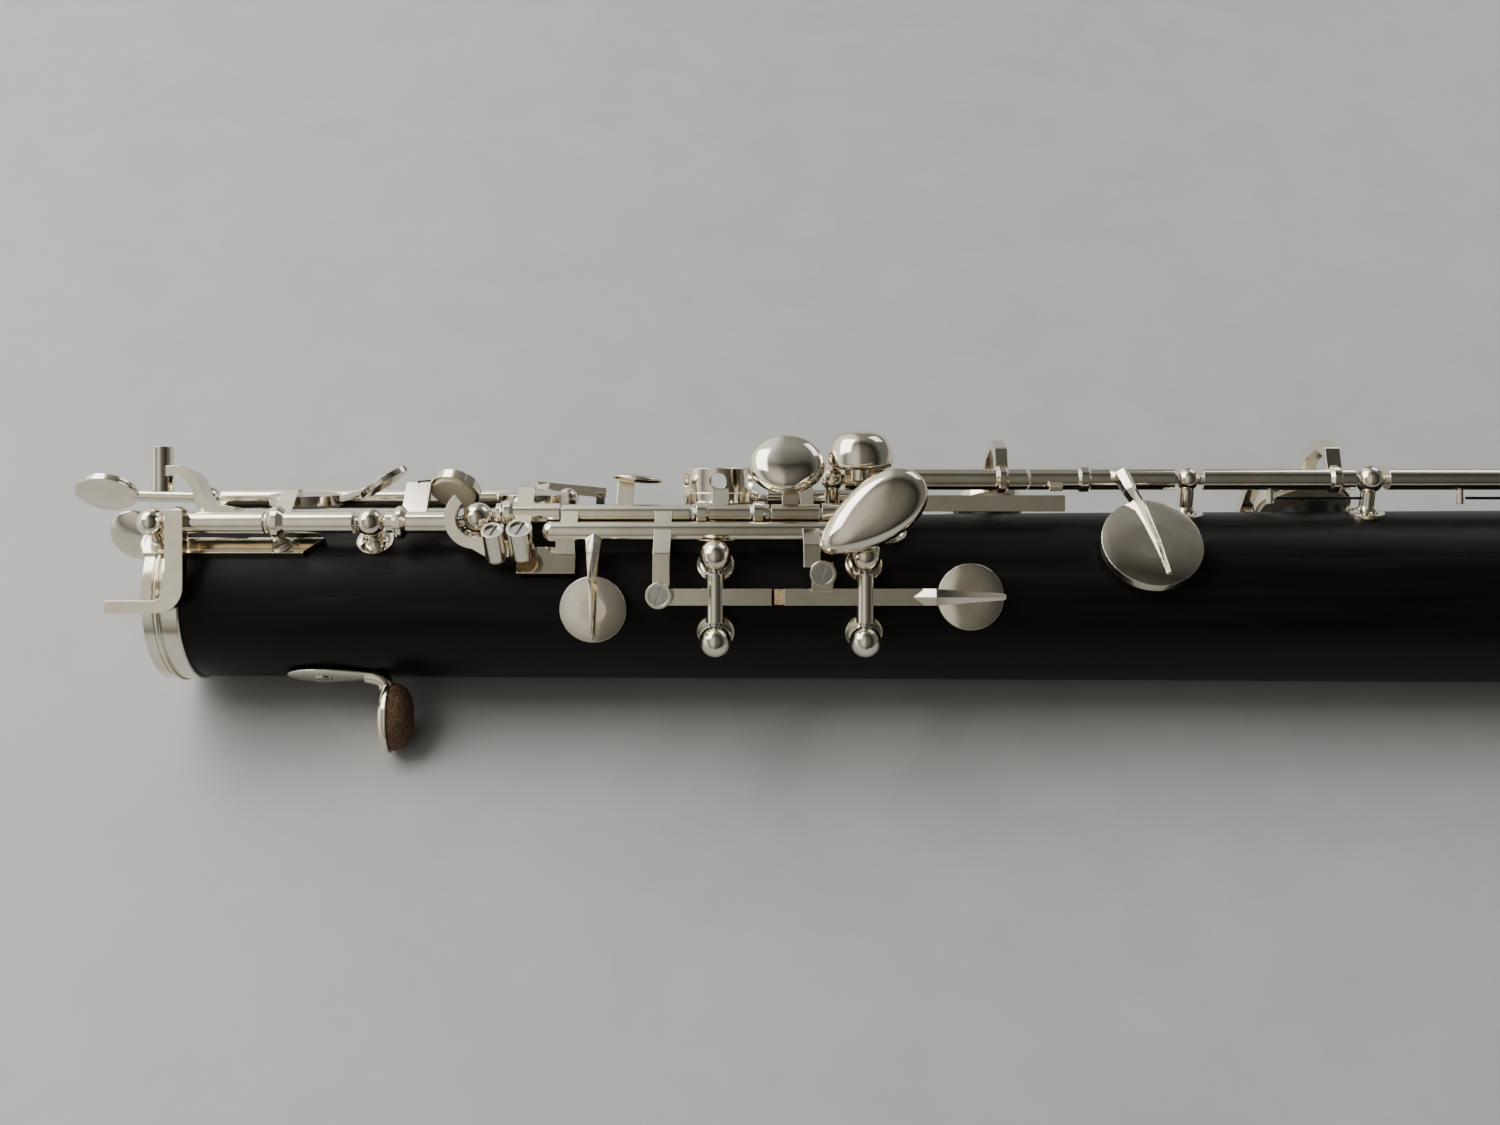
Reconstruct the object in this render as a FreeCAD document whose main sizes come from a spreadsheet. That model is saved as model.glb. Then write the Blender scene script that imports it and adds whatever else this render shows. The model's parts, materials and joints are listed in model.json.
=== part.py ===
import FreeCAD, Part

import math
import os

from FreeCAD import Placement, Rotation, Vector

# The lower joint of a conservatoire oboe, with its keywork.
# X runs along the bore from the socket face towards the bell.  Every piece is laid out in the
# instrument's own directions: "front" is the finger side and "side" is the player's right side.
# The whole joint is then rolled about the bore so that it lies on a table the way it rests:
# on the thumb rest and on the posts of the left-hand rod.

doc = FreeCAD.newDocument("oboe_lower_joint")
sheet = doc.addObject("Spreadsheet::Sheet", "sizes")

# Driving dimensions in millimetres, and angles in degrees.
DIMENSIONS = {
    "roll_angle": 50.0,
    # wooden body: radii are read at the socket, at the middle and at the tenon shoulder
    "body_length": 238.0,
    "middle_place": 89.0,
    "socket_radius_out": 12.15,
    "middle_radius_out": 12.6,
    "lower_radius_out": 13.35,
    "socket_bore": 8.5,
    "socket_depth": 17.5,
    "bore_start": 4.9,
    "bore_end": 7.8,
    "tenon_length": 21.0,
    "tenon_radius": 9.6,
    "cork_radius": 10.1,
    "cork_length": 15.0,
    "ring_length": 5.5,
    "ring_radius": 12.6,
    "ring_lip": 1.0,
    "ring_face": 0.8,
    "ring_wall": 1.3,
    "ring_bead": 0.25,
    "seat_height": 0.35,
    "seat_rim": 1.1,
    # keywork stock
    "rod_radius": 0.8,
    "running_gap": 0.06,
    "tube_radius": 1.6,
    "slim_tube_radius": 1.42,
    "bar_radius": 1.42,
    "collar_radius": 2.4,
    "collar_length": 2.2,
    "ball_radius": 2.1,
    "small_ball_radius": 1.75,
    "lever_ball_radius": 2.3,
    "neck_radius": 1.1,
    "base_radius": 2.7,
    "base_thickness": 0.55,
    "shank_radius": 0.8,
    "shank_length": 2.2,
    "arm_width": 2.4,
    "slim_arm_width": 1.8,
    "arm_thickness": 1.5,
    "arm_tip_width": 0.7,
    "cup_wall": 0.5,
    "cup_height": 1.5,
    "cup_dome": 0.45,
    "pad_recess": 0.9,
    "pad_proud": 0.45,
    "small_pad_radius": 3.75,
    "vent_pad_radius": 4.8,
    "finger_plate_radius": 5.45,
    "ring_plate_radius": 5.6,
    "large_pad_radius": 7.35,
    "ring_wall_radius": 5.5,
    "ring_wall_height": 4.1,
    "ring_hole_radius": 4.7,
    "screw_radius": 1.15,
    "barrel_radius": 1.85,
    "slim_barrel_radius": 1.6,
    "barrel_length": 4.2,
    "slot_width": 0.35,
    "slot_depth": 0.4,
    "foot_cork_height": 0.5,
    "spring_radius": 0.22,
    "peg_radius": 0.55,
    # rod A, upper: socket post to the double post
    "bridge_from": 3.9,
    "bridge_to": 18.1,
    "f_sharp_from": 18.4,
    "f_sharp_to": 31.1,
    "trill_from": 35.9,
    "trill_to": 45.9,
    # rod C, middle: double post to the little-finger post
    "e_from": 51.7,
    "e_to": 61.0,
    "f_from": 61.3,
    "f_to": 80.0,
    "d_from": 80.3,
    "d_to": 91.6,
    "c_sharp_from": 91.9,
    "c_sharp_to": 99.0,
    "d_sharp_from": 99.3,
    "d_sharp_to": 107.0,
    "bar_from": 60.0,
    "bar_to": 100.6,
    # rod B, lower
    "c_from": 103.0,
    "c_to": 130.3,
    "d_sharp_pad_from": 130.6,
    "d_sharp_pad_to": 152.4,
    "low_b_from": 156.7,
    "low_b_to": 179.5,
    "low_vent_from": 184.5,
    "low_vent_to": 229.5,
    # left-hand rods
    "left_upper_from": 5.6,
    "left_upper_to": 57.6,
    "left_lower_from": 5.6,
    "left_lower_to": 185.6,
    "link_from": 62.6,
    "link_to": 173.4,
    "c_sharp_pad_from": 91.5,
    "c_sharp_pad_to": 111.5,
    # thumb rest
    "plate_thickness": 1.1,
}

for line, (alias, amount) in enumerate(DIMENSIONS.items(), start=1):
    sheet.set(f"A{line}", alias)
    sheet.set(f"B{line}", str(amount))
    sheet.setAlias(f"B{line}", alias)
doc.recompute()


def dim(alias):
    """The number that the sheet holds under this alias."""
    return float(sheet.get(alias))


# Axes of the rods that run along the bore, as (front, side) distances from the bore's axis.
ROD_A = (11.05, 12.0)
ROD_B = (17.7, 5.0)
ROD_C = (12.3, 10.5)
NEAR_BAR = (9.7, 13.0)
LEFT_UPPER = (15.2, -6.4)
LEFT_LOWER = (1.52, -16.43)
LEFT_LINK = (8.0, -14.43)
LEVER_PIVOT_SIDE = 14.8
LEVER_HEIGHT = 0.24
LEFT_LEVER_X = 83.8
RIGHT_LEVER_X = 105.4

X_AXIS = Vector(1, 0, 0)
FRONT = Vector(0, 0, 1)
SIDE = Vector(0, -1, 0)
ROLL = Placement(Vector(0, 0, 0), Rotation(X_AXIS, -dim("roll_angle")))


def point(x, front, side):
    """A place in the instrument's directions, before the roll."""
    return Vector(x, -side, front)


def radial(angle):
    """The direction away from the bore, turned from the front towards the right side."""
    turn = math.radians(angle)
    return Vector(0, -math.sin(turn), math.cos(turn))


def body_radius(x):
    """The outer radius of the wooden body at a place along the bore."""
    middle = dim("middle_place")
    if x < middle:
        share = x / middle
        return dim("socket_radius_out") * (1 - share) + dim("middle_radius_out") * share
    share = (x - middle) / (dim("body_length") - middle)
    return dim("middle_radius_out") * (1 - share) + dim("lower_radius_out") * share


def seat_radius(x):
    """How far a tone hole's seat stands from the bore's axis."""
    return body_radius(x) + dim("seat_height")


def bind(feature, prop, size):
    """Sets a property to a number, or binds it to an expression of the sheet's aliases."""
    if isinstance(size, str):
        words = [w if not w[0].isalpha() else f"sizes.{w}" for w in size.split()]
        feature.setExpression(prop, " ".join(words))
    else:
        setattr(feature, prop, size)


def aimed(direction, start):
    """The placement that puts a feature's own Z along a direction."""
    return Placement(start, Rotation(Vector(0, 0, 1), direction))


def cylinder(radius, length, start, direction):
    feature = doc.addObject("Part::Cylinder", "cylinder")
    bind(feature, "Radius", radius)
    bind(feature, "Height", length)
    feature.Placement = aimed(direction, start)
    return feature


def ball(radius, centre):
    feature = doc.addObject("Part::Sphere", "ball")
    bind(feature, "Radius", radius)
    feature.Placement.Base = centre
    return feature


def dome(along, across, height, centre, rotation=None, full=True):
    """A flattened ellipsoid for a finger touch; half of one when full is False."""
    feature = doc.addObject("Part::Ellipsoid", "dome")
    feature.Radius1 = height
    feature.Radius2 = along
    feature.Radius3 = across
    feature.Angle1 = -90 if full else 0
    feature.Placement = Placement(centre, rotation or Rotation())
    return feature


def bar(start, end, width, thickness, flat):
    """A straight bar between two points; flat is the direction of its thickness."""
    along = end - start
    length = along.Length
    along.normalize()
    across = flat.cross(along)
    across.normalize()
    upright = along.cross(across)
    feature = doc.addObject("Part::Box", "bar")
    feature.Length = length
    bind(feature, "Width", width)
    bind(feature, "Height", thickness)
    doc.recompute([feature])
    corner = start - across * (feature.Width.Value / 2) - upright * (feature.Height.Value / 2)
    feature.Placement = Placement(corner, Rotation(along, across, upright, "XZY"))
    return feature


def outline(plane, start, steps, thickness, offset):
    """A flat piece: a sketched outline of lines and arcs, padded to its thickness.

    A step is the next corner, or a (middle, end) pair of points for an arc."""
    body = doc.addObject("PartDesign::Body", "plate_body")
    sketch = body.newObject("Sketcher::SketchObject", "plate_outline")
    planes = {feature.Role: feature for feature in body.Origin.OriginFeatures}
    sketch.AttachmentSupport = [(planes[plane], "")]
    sketch.MapMode = "FlatFace"
    here = Vector(start[0], start[1], 0)
    first = here
    edges = []
    for step in list(steps) + [start]:
        if isinstance(step[0], tuple):
            middle = Vector(step[0][0], step[0][1], 0)
            there = Vector(step[1][0], step[1][1], 0)
            edges.append(Part.Arc(here, middle, there))
        else:
            there = Vector(step[0], step[1], 0)
            if there.distanceToPoint(here) > 1e-6:
                edges.append(Part.LineSegment(here, there))
        here = there
    assert here.distanceToPoint(first) < 1e-6
    sketch.addGeometry(edges, False)
    pad = body.newObject("PartDesign::Pad", "plate_pad")
    pad.Profile = (sketch, [""])
    bind(pad, "Length", thickness)
    body.Placement.Base = offset
    return body


def side_plate(start, steps, thickness, side):
    """A plate drawn along x and front, from a side distance outwards."""
    return outline("XZ_Plane", start, steps, thickness, Vector(0, -side, 0))


def cross_plate(start, steps, thickness, x):
    """A plate drawn across the bore as (front, side) points, from x towards the bell."""

    def flip(step):
        if isinstance(step[0], tuple):
            return tuple(flip(place) for place in step)
        return (-step[1], step[0])

    return outline("YZ_Plane", flip(start), [flip(step) for step in steps], thickness, Vector(x, 0, 0))


def revolved(profile, start, direction):
    """A turned piece: a half profile of (radius, height) points, with arcs as in outline()."""
    body = doc.addObject("PartDesign::Body", "turned_body")
    sketch = body.newObject("Sketcher::SketchObject", "turned_profile")
    planes = {feature.Role: feature for feature in body.Origin.OriginFeatures}
    sketch.AttachmentSupport = [(planes["XZ_Plane"], "")]
    sketch.MapMode = "FlatFace"
    here = Vector(profile[0][0], profile[0][1], 0)
    edges = []
    for step in profile[1:] + [profile[0]]:
        if isinstance(step[0], tuple):
            middle = Vector(step[0][0], step[0][1], 0)
            there = Vector(step[1][0], step[1][1], 0)
            edges.append(Part.Arc(here, middle, there))
        else:
            there = Vector(step[0], step[1], 0)
            edges.append(Part.LineSegment(here, there))
        here = there
    sketch.addGeometry(edges, False)
    turn = body.newObject("PartDesign::Revolution", "turned_solid")
    turn.Profile = (sketch, [""])
    turn.ReferenceAxis = (sketch, ["V_Axis"])
    turn.Angle = 360
    body.Placement = aimed(direction, start)
    return body


def fused(pieces):
    if len(pieces) == 1:
        return pieces[0]
    feature = doc.addObject("Part::MultiFuse", "joined")
    feature.Shapes = pieces
    feature.Refine = True
    return feature


def cut(base, tools):
    feature = doc.addObject("Part::Cut", "cut")
    feature.Base = base
    feature.Tool = fused(tools)
    return feature


nodes = []


def node(name, pieces, tools=(), group=False):
    """Names a sub-part, rolls it with the rest of the joint and keeps it for export."""
    if group:
        feature = doc.addObject("Part::Compound", "group")
        feature.Links = pieces
    else:
        feature = fused(list(pieces))
    if tools:
        feature = cut(feature, list(tools))
    holder = doc.addObject("Part::Compound", "node")
    holder.Links = [feature]
    holder.Label = name
    holder.Placement = ROLL
    nodes.append((holder, len(pieces) if group else 1))
    return feature


# ---------------------------------------------------------------- turned pieces


def post(x, angle, ball_centre_radius, ball_size):
    """A ball post: shank in the wood, flared base, neck and ball, along a radial line."""
    base = body_radius(x) - 0.25
    ball_r = dim(ball_size)
    neck = dim("neck_radius")
    foot = dim("base_radius")
    top = ball_centre_radius - base
    thick = dim("base_thickness")
    shank = dim("shank_radius")
    depth = dim("shank_length")
    neck_top = top - math.sqrt(ball_r**2 - neck**2)
    flare = min(1.0, (neck_top - thick) * 0.8)
    bow = 1 - math.sqrt(0.5)
    profile = [
        (0, -depth),
        (shank, -depth),
        (shank, 0),
        (foot, 0),
        (foot, thick),
        ((neck + (foot - neck) * bow, thick + flare * bow), (neck, thick + flare)),
        (neck, neck_top),
        ((ball_r, top), (0, top + ball_r)),
    ]
    return revolved(profile, radial(angle) * base + Vector(x, 0, 0), radial(angle))


def post_on(x, rod, ball_size="ball_radius"):
    """A ball post whose ball sits on a rod's axis."""
    angle = math.degrees(math.atan2(rod[1], rod[0]))
    return post(x, angle, math.hypot(rod[0], rod[1]), ball_size)


def collar(x, rod, scale=1.0, length=None):
    """A turned collar on a hinge tube, bevelled at both ends."""
    long = length or dim("collar_length")
    outer = dim("collar_radius") * scale
    inner = dim("slim_tube_radius")
    edge = min(outer - inner, long * 0.35)
    profile = [
        (0, 0),
        (inner, 0),
        (outer, edge),
        (outer, long - edge),
        (inner, long),
        (0, long),
    ]
    return revolved(profile, point(x, *rod), X_AXIS)


def cup(radius, centre, direction, height="cup_height"):
    """A pad cup: a low domed cap with a recess for the pad; centre is on its mouth."""
    outer = dim(radius)
    tall = dim(height)
    inner = outer - dim("cup_wall")
    rise = dim("cup_dome")
    recess = dim("pad_recess")
    profile = [
        (0, recess),
        (inner, recess),
        (inner, 0),
        (outer, 0),
        (outer, tall),
        ((outer * 0.75, tall + rise * 0.6), (outer * 0.4, tall + rise)),
        (0, tall + rise),
    ]
    return revolved(profile, centre, direction)


def pad_disc(radius, centre, direction):
    """A pad, which fills its cup's recess and stands a little proud of the mouth."""
    start = centre - direction * dim("pad_proud")
    feature = cylinder(f"{radius} - cup_wall", "pad_recess + pad_proud", start, direction)
    soft = doc.addObject("Part::Fillet", "soft_pad")
    soft.Base = feature
    doc.recompute()
    rim = [
        number
        for number, edge in enumerate(feature.Shape.Edges, start=1)
        if len(edge.Vertexes) == 1 and edge.CenterOfMass.distanceToPoint(start) < 0.01
    ]
    soft.Edges = [(number, 0.2, 0.2) for number in rim]
    return soft


def slotted_screw(radius, length, top, direction, slot_turn=0):
    """A screw whose slotted head is at top and whose shank runs down from it."""
    shank = cylinder(radius, length, top - direction * length, direction)
    slot = doc.addObject("Part::Box", "slot")
    slot.Length = 8
    bind(slot, "Width", "slot_width")
    bind(slot, "Height", "slot_depth")
    turn = Rotation(Vector(0, 0, 1), direction).multiply(Rotation(Vector(0, 0, 1), slot_turn))
    half = Vector(-4, -dim("slot_width") / 2, -dim("slot_depth"))
    slot.Placement = Placement(top + turn.multVec(half), turn)
    return cut(shank, [slot])


# ---------------------------------------------------------------- key pieces


def tube(rod, start, end, radius="tube_radius"):
    """The outside of a hinge tube; its bore is cut later by rod_hole()."""
    return cylinder(radius, f"{end} - {start}", point(dim(start), *rod), X_AXIS)


def rod_hole(rod):
    """The running hole that every key on a rod shares."""
    return cylinder("rod_radius + running_gap", 260, point(-10, *rod), X_AXIS)


def cup_on(x, angle, radius, gap, height="cup_height"):
    """A cup over a tone hole and the pad in it, standing open by a gap."""
    reach = seat_radius(x) + gap + dim("pad_proud")
    centre = radial(angle) * reach + Vector(x, 0, 0)
    return cup(radius, centre, radial(angle), height), pad_disc(radius, centre, radial(angle))


def barrel(centre_top, direction, length, radius):
    """An adjusting screw's barrel with a socket at its top, and the screw in it."""
    shell = cylinder(radius, length, centre_top - direction * length, direction)
    socket_radius = dim(radius) - 0.45
    socket_start = centre_top - direction * 1.6
    socket = cylinder(socket_radius, 3.0, socket_start, direction)
    screw = slotted_screw(socket_radius, 1.25, centre_top - direction * 0.35, direction, 70)
    return shell, socket, screw


def cross_arm(x, places, width="arm_width", thickness="arm_thickness"):
    """A bent arm across the bore: (front, side) places at one x, flat along x."""
    pieces = []
    for first, second in zip(places, places[1:]):
        start = point(x, *first)
        end = point(x, *second)
        pieces.append(bar(start, end, width, thickness, (end - start).cross(X_AXIS)))
    for place in places[1:-1]:
        start = point(x, *place) - X_AXIS * (pieces[0].Width.Value / 2)
        pieces.append(cylinder(pieces[0].Height.Value / 2, pieces[0].Width.Value, start, X_AXIS))
    return pieces


def ridge(x_start, places, width_start, width_end, height, depth=0.5):
    """A tapered arm with a ridged back, lofted from a wide end to its narrow tip."""
    sections = []
    count = len(places)
    for number, (x, front, side, away_front, away_side) in enumerate(places):
        share = number / (count - 1)
        half = (width_start * (1 - share) + width_end * share) / 2
        centre = point(x + x_start, front, side)
        away = Vector(0, -away_side, away_front)
        away.normalize()
        across = X_AXIS * half
        base = centre - away * (height * depth)
        corners = [base - across, base + across, centre + across * 0.9, centre + away * height * 0.5]
        corners.append(centre - across * 0.9)
        sections.append(corners)
    faces = [sections[0], sections[-1]]
    for near, far in zip(sections, sections[1:]):
        for corner, _ in enumerate(near):
            faces.append([near[corner - 1], near[corner], far[corner]])
            faces.append([near[corner - 1], far[corner], far[corner - 1]])
    shell = Part.Shell([Part.Face(Part.makePolygon(face + [face[0]])) for face in faces])
    feature = doc.addObject("Part::Feature", "ridge")
    feature.Shape = Part.Solid(shell)
    return feature


def key(name, rod, pieces, pads=()):
    """A key: its metal pieces joined, then bored for its rod and cleared for its pads."""
    return node(name, pieces, [rod_hole(rod), *pads])


# ---------------------------------------------------------------- keys on the upper rod


def bridge_key():
    """The key that reaches over the socket to the upper joint: a lug and a hooked arm."""
    hook = side_plate(
        (4.6, 12.8),
        [
            (7.2, 12.8),
            (7.2, 1.8),
            ((6.1, -1.0), (3.5, -2.1)),
            (-4.0, -2.1),
            (-4.0, -0.3),
            (2.9, -0.3),
            ((4.1, 0.4), (4.6, 1.9)),
        ],
        "slim_arm_width",
        13.2,
    )
    swan_neck = side_plate(
        (3.4, 19.4),
        [
            (5.2, 19.4),
            ((7.3, 18.4), (8.6, 16.2)),
            ((9.6, 14.4), (11.5, 13.6)),
            (13.5, 13.3),
            (13.5, 11.9),
            (11.0, 12.1),
            ((8.6, 13.1), (7.2, 15.6)),
            ((6.3, 17.2), (4.9, 17.9)),
            (3.4, 17.9),
        ],
        3.6,
        7.6,
    )
    lug = cylinder("slim_barrel_radius", 6.6, point(2.2, 15.6, 9.4), FRONT)
    lug_hole = cylinder("screw_radius", 8.0, point(2.2, 17.2, 9.4), FRONT)
    metal = [tube(ROD_A, "bridge_from", "bridge_to"), collar(4.5, ROD_A, length=2.7)]
    node("bridge_key", metal + [hook, swan_neck, lug], [rod_hole(ROD_A), lug_hole])
    cork = bar(point(-3.8, -1.2, 12.95), point(-0.6, -1.2, 12.95), 1.6, "foot_cork_height", SIDE)
    node("bridge_cork", [cork])


def f_sharp_key():
    """Right-hand first finger plate with its side leaf."""
    plate, pad = cup_on(21.0, 6, "finger_plate_radius", 1.1)
    arm = cross_arm(20.6, [(12.0, 11.2), (15.3, 7.6), (15.4, 5.9)])
    tongue = bar(point(26.1, 14.9, 1.5), point(31.2, 16.4, 1.5), 2.0, 0.8, FRONT)
    leaf = outline("XY_Plane", (-4.2, 0), [((0, -2.7), (4.2, 0)), ((0, 2.7), (-4.2, 0))], 0.9, Vector())
    leaf.Placement = Placement(point(33.0, 17.0, 1.5), Rotation(Vector(0, 1, 0), -33))
    metal = [tube(ROD_A, "f_sharp_from", "f_sharp_to"), collar(18.5, ROD_A, length=2.8)]
    key("f_sharp_key", ROD_A, metal + [plate, tongue, leaf] + arm, [pad])
    node("f_sharp_pad", [pad])


def trill_key():
    """Short key with a small tilted cup, and the hooked strap with the first adjusting screw."""
    away = Vector(0.15, 0.58, 0.8)
    away.normalize()
    centre = point(44.6, 15.6, 6.4)
    small_cup = cup("small_pad_radius", centre, away)
    pad = pad_disc("small_pad_radius", centre, away)
    arm = cross_arm(39.7, [(12.0, 11.2), (16.8, 7.5)], 3.6, 1.2)
    reach = bar(point(39.2, 16.8, 7.4), point(44.4, 17.5, 5.3), 1.8, 1.0, FRONT)
    strap = side_plate(
        (46.17, 14.97),
        [
            ((44.79, 10.3), (48.6, 7.2)),
            (50.7, 6.0),
            (54.0, 6.0),
            (54.0, 8.2),
            (51.5, 8.9),
            (48.76, 8.86),
            ((46.37, 10.8), (47.23, 13.7)),
        ],
        1.9,
        12.2,
    )
    shell, socket, screw = barrel(point(52.1, 9.8, 17.3), radial(45), 5.1, "slim_barrel_radius")
    metal = [tube(ROD_A, "trill_from", "trill_to"), collar(36.8, ROD_A), small_cup, reach, strap, shell]
    foot = point(52.1, 9.8, 17.3) - radial(45) * (5.1 + dim("foot_cork_height"))
    cork = cylinder(1.35, "foot_cork_height", foot, radial(45))
    key("trill_key", ROD_A, metal + arm, [pad, socket, cork])
    node("trill_pad", [pad])
    node("trill_screw", [screw])
    node("trill_foot_cork", [cork])


# ---------------------------------------------------------------- keys on the middle rod


def e_key():
    """Right-hand second finger plate with the second adjusting screw."""
    plate, pad = cup_on(55.7, 6, "finger_plate_radius", 1.1)
    arm = cross_arm(55.7, [(12.6, 10.0), (15.7, 7.2), (15.95, 6.3)])
    link = cross_arm(55.9, [(12.0, 10.9), (8.9, 15.6)])
    top = point(55.95, 10.1, 17.4)
    shell, socket, screw = barrel(top, radial(45), 5.0, "barrel_radius")
    metal = [tube(ROD_C, "e_from", "e_to"), collar(52.2, ROD_C, 0.85), plate, shell]
    key("e_key", ROD_C, metal + arm + link, [pad, socket])
    node("e_pad", [pad])
    node("e_screw", [screw])
    foot = top - radial(45) * (5.0 + dim("foot_cork_height"))
    node("e_foot_cork", [cylinder(1.5, "foot_cork_height", foot, radial(45))])


def f_key():
    """The F key: its touch, the long bar beside the rod, its side pad and two screws."""
    plate, pad = cup_on(66.2, 96, "vent_pad_radius", 0.15)
    spine = ridge(
        66.2,
        [
            (0, 9.3, 13.6, 0.8, 1),
            (0, 6.5, 15.3, 0.5, 1),
            (0, 2.5, 15.85, 0.0, 1),
            (0, -5.8, 15.3, -0.1, 1),
        ],
        dim("arm_width") * 1.15,
        dim("arm_tip_width"),
        dim("arm_thickness"),
    )
    long_bar = cylinder("bar_radius", "bar_to - bar_from", point(dim("bar_from"), *NEAR_BAR), X_AXIS)
    ends = [ball("bar_radius", point(dim(end), *NEAR_BAR)) for end in ("bar_from", "bar_to")]
    links = []
    for x in (62.6, 76.2):
        links += cross_arm(x, [ROD_C, NEAR_BAR], "arm_width", 2.5)
    foot = bar(point(54.9, 5.4, 12.2), point(63.4, 5.4, 12.2), 4.2, 0.8, radial(66))
    riser = cross_arm(62.0, [(6.7, 12.0), (9.4, 12.9)], 2.8, 1.5)
    stem = cross_arm(70.4, [(12.6, 10.0), (17.4, 7.0)], 2.4, 1.3)
    touch = dome(3.8, 2.9, 0.75, point(72.0, 17.7, 6.4), Rotation(Vector(0, 1, 0), 6))
    arm_1 = cross_arm(76.2, [(9.7, 13.6), (6.2, 17.2), (1.8, 17.6)])
    arm_2 = cross_arm(97.6, [(9.7, 13.6), (7.4, 17.0), (4.4, 17.6)])
    shells = []
    sockets = []
    screws = []
    for place in (point(75.9, 0.5, 19.6), point(99.1, 3.6, 19.6)):
        shell, socket, screw = barrel(place, SIDE, 2.9, "barrel_radius")
        shells.append(shell)
        sockets.append(socket)
        screws.append(screw)
    metal = [tube(ROD_C, "f_from", "f_to", "slim_tube_radius"), plate, spine, long_bar, foot, touch]
    metal += ends + links + riser + stem + arm_1 + arm_2 + shells
    key("f_key", ROD_C, metal, [pad] + sockets)
    node("f_pad", [pad])
    node("f_screws", screws, group=True)


def d_key():
    """Right-hand third finger ring: a tall arched wall on a cup."""
    x = 84.0
    angle = 4
    base, pad = cup_on(x, angle, "ring_plate_radius", 1.1)
    out = radial(angle)
    foot = seat_radius(x) + 1.1 + dim("pad_proud") + dim("cup_height") - 0.4
    centre = out * foot + Vector(x, 0, 0)
    wall = cylinder("ring_wall_radius", "ring_wall_height", centre, out)
    hollow = cylinder("ring_hole_radius", 8.0, centre + out * 1.0, out)
    arches = []
    for turn in (30, 90, 150):
        line = Rotation(out, turn).multVec(X_AXIS)
        arches.append(cylinder(1.25, 16, centre + out * 2.15 - line * 8, line))
    ring = cut(wall, [hollow] + arches)
    arm = cross_arm(84.4, [(12.6, 9.8), (15.5, 7.2), (15.5, 6.0)])
    metal = [tube(ROD_C, "d_from", "d_to", "slim_tube_radius"), base, ring]
    collars = [collar(x_start, ROD_C, 0.77) for x_start in (80.6, 88.9)]
    key("d_key", ROD_C, metal + collars + arm, [pad])
    node("d_pad", [pad])


def c_sharp_key():
    """Little-finger C sharp touch and the arm that works the pad key behind it."""
    touch = dome(5.6, 4.8, 2.7, point(94.2, 19.6, 8.5), Rotation(X_AXIS, 60), full=False)
    stem = cross_arm(94.7, [(12.6, 10.0), (19.8, 8.7)], 2.4, 1.6)
    arm = cross_arm(97.2, [(12.8, 9.8), (16.2, 5.0), (16.4, -1.4)], 2.0, 1.2)
    metal = [tube(ROD_C, "c_sharp_from", "c_sharp_to", "slim_tube_radius"), touch]
    key("c_sharp_key", ROD_C, metal + stem + arm)


def d_sharp_key():
    """Little-finger D sharp touch with the long bar that lifts its pad key."""
    lean = Rotation(SIDE, 35).multiply(Rotation(X_AXIS, 82))
    touch = dome(7.6, 4.0, 2.5, point(106.8, 12.4, 17.6), lean, full=False)
    stem = cross_arm(104.0, [(12.3, 11.4), (12.3, 18.4)], 2.2, 2.2)
    link = cross_arm(105.8, [(12.5, 10.3), (14.0, 7.3)], 2.2, 1.9)
    reach = bar(point(104.7, 14.0, 7.1), point(135.6, 14.0, 7.1), 1.5, 2.4, FRONT)
    metal = [tube(ROD_C, "d_sharp_from", "d_sharp_to"), touch, reach]
    key("d_sharp_key", ROD_C, metal + stem + link)


# ---------------------------------------------------------------- keys on the lower rod


OVER_ARM = [(17.9, 5.0), (22.0, 3.8), (23.3, 0.6), (21.8, -4.2)]


def c_key():
    """Little-finger C touch and its open-standing pad on the far side."""
    touch = dome(5.0, 4.5, 4.6, point(105.2, 20.2, 6.8), Rotation(X_AXIS, 8), full=False)
    stem = cylinder("slim_barrel_radius", 3.4, point(105.2, 17.4, 5.6), FRONT)
    plate, pad = cup_on(126.6, -30, "finger_plate_radius", 2.0)
    arm = cross_arm(126.6, OVER_ARM + [(18.3, -7.8), (14.3, -8.2)], 1.9, 1.3)
    metal = [tube(ROD_B, "c_from", "c_to"), touch, stem, plate, collar(125.5, ROD_B, 0.85)]
    key("c_key", ROD_B, metal + arm, [pad])
    node("c_pad", [pad])


def d_sharp_pad_key():
    """The large side pad that the D sharp touch opens."""
    x = 147.2
    plate, pad = cup_on(x, 58, "large_pad_radius", 0.15)
    spine = ridge(
        x,
        [
            (-3.4, 19.0, 5.6, 1, 0.1),
            (-3.1, 18.6, 8.0, 1, 0.6),
            (-2.2, 16.0, 9.7, 0.6, 1),
            (-1.0, 13.8, 10.5, 0.53, 0.85),
            (0.6, 8.6, 13.8, 0.53, 0.85),
            (1.6, 3.6, 16.2, 0.53, 0.85),
        ],
        dim("arm_width") * 1.1,
        dim("arm_tip_width"),
        dim("arm_thickness"),
        depth=0.9,
    )
    lug = cross_arm(134.4, [(17.4, 5.6), (16.25, 7.2)], 2.0, 1.1)
    metal = [tube(ROD_B, "d_sharp_pad_from", "d_sharp_pad_to"), plate, spine, collar(137.8, ROD_B, 0.8)]
    key("d_sharp_pad_key", ROD_B, metal + lug, [pad])
    node("d_sharp_pad", [pad])


def spring_peg(x):
    """The small turned pin on a tube that a needle spring bears on."""
    return cylinder("peg_radius", 3.4, point(x, 17.4, 5.0), FRONT * -1)


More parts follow.
